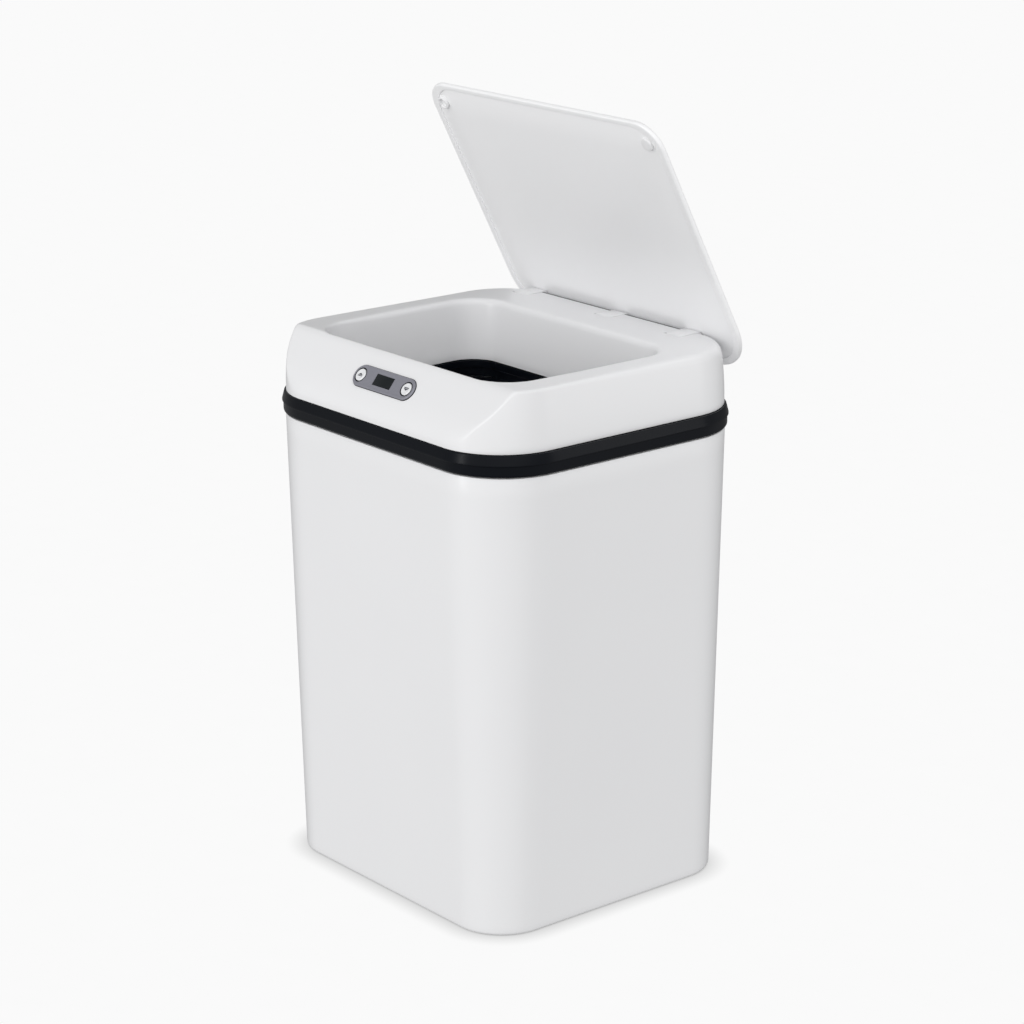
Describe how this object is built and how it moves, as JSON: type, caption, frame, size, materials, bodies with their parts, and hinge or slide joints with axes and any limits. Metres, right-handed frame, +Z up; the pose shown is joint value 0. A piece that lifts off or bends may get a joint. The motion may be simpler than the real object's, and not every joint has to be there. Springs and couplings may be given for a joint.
{
  "type": "sensor trash can",
  "caption": "Tall rounded-rectangular bin with a lift-off powered head, a slanted front panel with buttons and an infrared window, and a flat lid that swings open.",
  "frame": {"origin": "on the floor at the centre of the bin's flat underside", "axes": "+Z up, +X towards the right side seen from the front, -Y towards the slanted control panel at the front, so the lid hinges at the +Y end"},
  "size_m": [0.2452, 0.2218, 0.4972],
  "materials": {
    "white_plastic": "satin-gloss white moulded plastic",
    "black_plastic": "semi-gloss black moulded plastic",
    "panel_grey": "satin lilac-grey plastic",
    "dark_lens": "polished dark infrared-clear plastic",
    "button_silver": "pearly light silver plastic",
    "bumper": "soft white elastomer pads",
    "steel": "turned or pressed plain steel",
    "acetal": "unpainted off-white engineering plastic",
    "board": "green circuit board laminate",
    "cell_wrap": "plain dark blue foil wrap on steel cells",
    "wire_insulation": "thin red wire insulation"
  },
  "bodies": {
    "bin": {"outer_body": "white_plastic"},
    "frame_ring": {"trim_ring": "black_plastic"},
    "bag_holder": {"bag_ring": "black_plastic"},
    "head": {"head_shell": "white_plastic", "head_base": "white_plastic", "base_screw_front_right": "steel", "base_screw_rear_right": "steel", "base_screw_rear_left": "steel", "base_screw_front_left": "steel", "base_screw_middle": "steel", "gear_pin_1": "steel", "gear_pin_2": "steel", "motor_can": "steel", "motor_end_cap": "black_plastic", "gearbox_frame": "acetal", "hinge_bracket_left": "acetal", "hinge_bracket_middle": "acetal", "hinge_bracket_right": "acetal", "battery_holder": "black_plastic", "battery_lower_front": "cell_wrap", "battery_lower_rear": "cell_wrap", "battery_upper_front": "cell_wrap", "battery_upper_rear": "cell_wrap", "battery_contact_front": "steel", "battery_contact_rear": "steel", "control_plate": "panel_grey", "ir_window": "dark_lens", "circuit_board": "board", "tact_switch_open": "black_plastic", "tact_switch_close": "black_plastic", "ir_emitter": "dark_lens", "ir_receiver": "dark_lens", "switch_body": "black_plastic", "wire_battery": "wire_insulation", "wire_switch": "wire_insulation", "wire_motor": "wire_insulation"},
    "lid": {"lid_outer": "white_plastic", "lid_inner": "white_plastic", "lid_bumper_left": "bumper", "lid_bumper_right": "bumper", "hinge_arm_left": "white_plastic", "hinge_arm_middle": "white_plastic", "hinge_arm_right": "white_plastic", "hinge_pin_left": "steel", "drive_shaft": "steel", "drive_sector": "acetal"},
    "gear_2": {"reduction_gear_2": "acetal"},
    "gear_1": {"reduction_gear_1": "acetal"},
    "motor_rotor": {"motor_pinion": "steel", "motor_shaft": "steel"},
    "open_button": {"button_open": "button_silver"},
    "close_button": {"button_close": "button_silver"},
    "power_knob": {"switch_knob": "panel_grey"},
    "battery_cover": {"battery_door": "white_plastic"}
  },
  "joints": [
    {"name": "ring_lift", "type": "slide", "parent": "bin", "child": "frame_ring", "axis": [0, 0, 1], "range_m": [0, 0.15]},
    {"name": "bag_ring_unclip", "type": "slide", "parent": "frame_ring", "child": "bag_holder", "axis": [0, 0, -1], "range_m": [0, 0.012]},
    {"name": "head_lift", "type": "slide", "parent": "frame_ring", "child": "head", "axis": [0, 0, 1], "range_m": [0, 0.12]},
    {"name": "lid_hinge", "type": "hinge", "parent": "head", "child": "lid", "pos_m": [0, 0.09217, 0.3416], "axis": [1, 0, 0], "range_deg": [0, 62.75]},
    {"name": "gear_2_spin", "type": "hinge", "parent": "head", "child": "gear_2", "pos_m": [0.0257, 0.08124, 0.32723], "axis": [1, 0, 0], "range_deg": [-252, 0]},
    {"name": "gear_1_spin", "type": "hinge", "parent": "head", "child": "gear_1", "pos_m": [0.0282, 0.07076, 0.33004], "axis": [1, 0, 0], "range_deg": [0, 503]},
    {"name": "motor_spin", "type": "hinge", "parent": "head", "child": "motor_rotor", "pos_m": [0.035, 0.07076, 0.34089], "axis": [1, 0, 0], "range_deg": [-1005, 0]},
    {"name": "open_button_press", "type": "slide", "parent": "head", "child": "open_button", "axis": [0, 0.7708, -0.637], "range_m": [0, 0.0008], "stiffness_N_per_m": 400, "springref_m": -0.001},
    {"name": "close_button_press", "type": "slide", "parent": "head", "child": "close_button", "axis": [0, 0.7708, -0.637], "range_m": [0, 0.0008], "stiffness_N_per_m": 400, "springref_m": -0.001},
    {"name": "power_knob_slide", "type": "slide", "parent": "head", "child": "power_knob", "axis": [1, 0, 0], "range_m": [0, 0.004]},
    {"name": "battery_cover_off", "type": "slide", "parent": "head", "child": "battery_cover", "axis": [-1, 0, 0], "range_m": [0, 0.025]}
  ],
  "couplings": [
    {"joint": "gear_2_spin", "follows": "lid_hinge", "ratio": -4},
    {"joint": "gear_1_spin", "follows": "lid_hinge", "ratio": 8},
    {"joint": "motor_spin", "follows": "lid_hinge", "ratio": -16}
  ]
}
